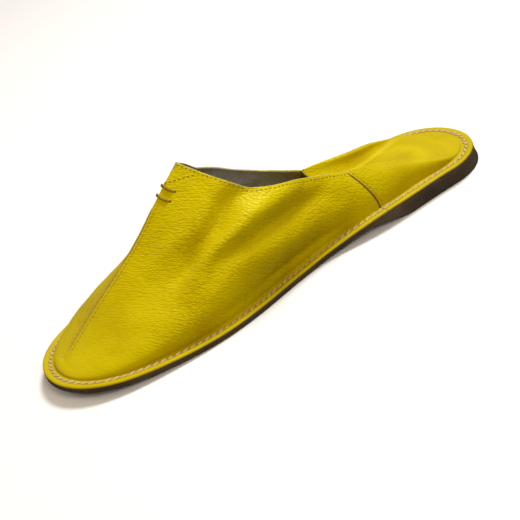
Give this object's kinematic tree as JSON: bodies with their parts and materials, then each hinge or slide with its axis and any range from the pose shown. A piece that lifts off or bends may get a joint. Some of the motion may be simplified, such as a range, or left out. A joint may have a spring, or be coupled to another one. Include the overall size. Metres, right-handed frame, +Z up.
{
  "type": "babouche slipper",
  "caption": "Backless leather slipper with a rounded flat toe, a high tongue-like throat, a trodden-down heel and a thin sole with a low heel.",
  "frame": {"origin": "on the floor under the middle of the whole slipper", "axes": "+X from heel to toe, +Y to the wearer's left, which is the inner side of this right shoe, +Z up"},
  "size_m": [0.2714, 0.1002, 0.0743],
  "materials": {
    "sole_rubber": "matt, moulded",
    "sock_leather": "smooth, satin",
    "yellow_leather": "pebbled, soft shine",
    "thong_leather": "smooth, satin",
    "lining_suede": "matt, napped",
    "thread": "waxed thread"
  },
  "bodies": {
    "root": {"outsole": "sole_rubber", "insole": "sock_leather", "upper": "yellow_leather", "heel_quarter": "yellow_leather", "tie_upper": "thong_leather", "tie_lower": "thong_leather"}
  },
  "joints": []
}
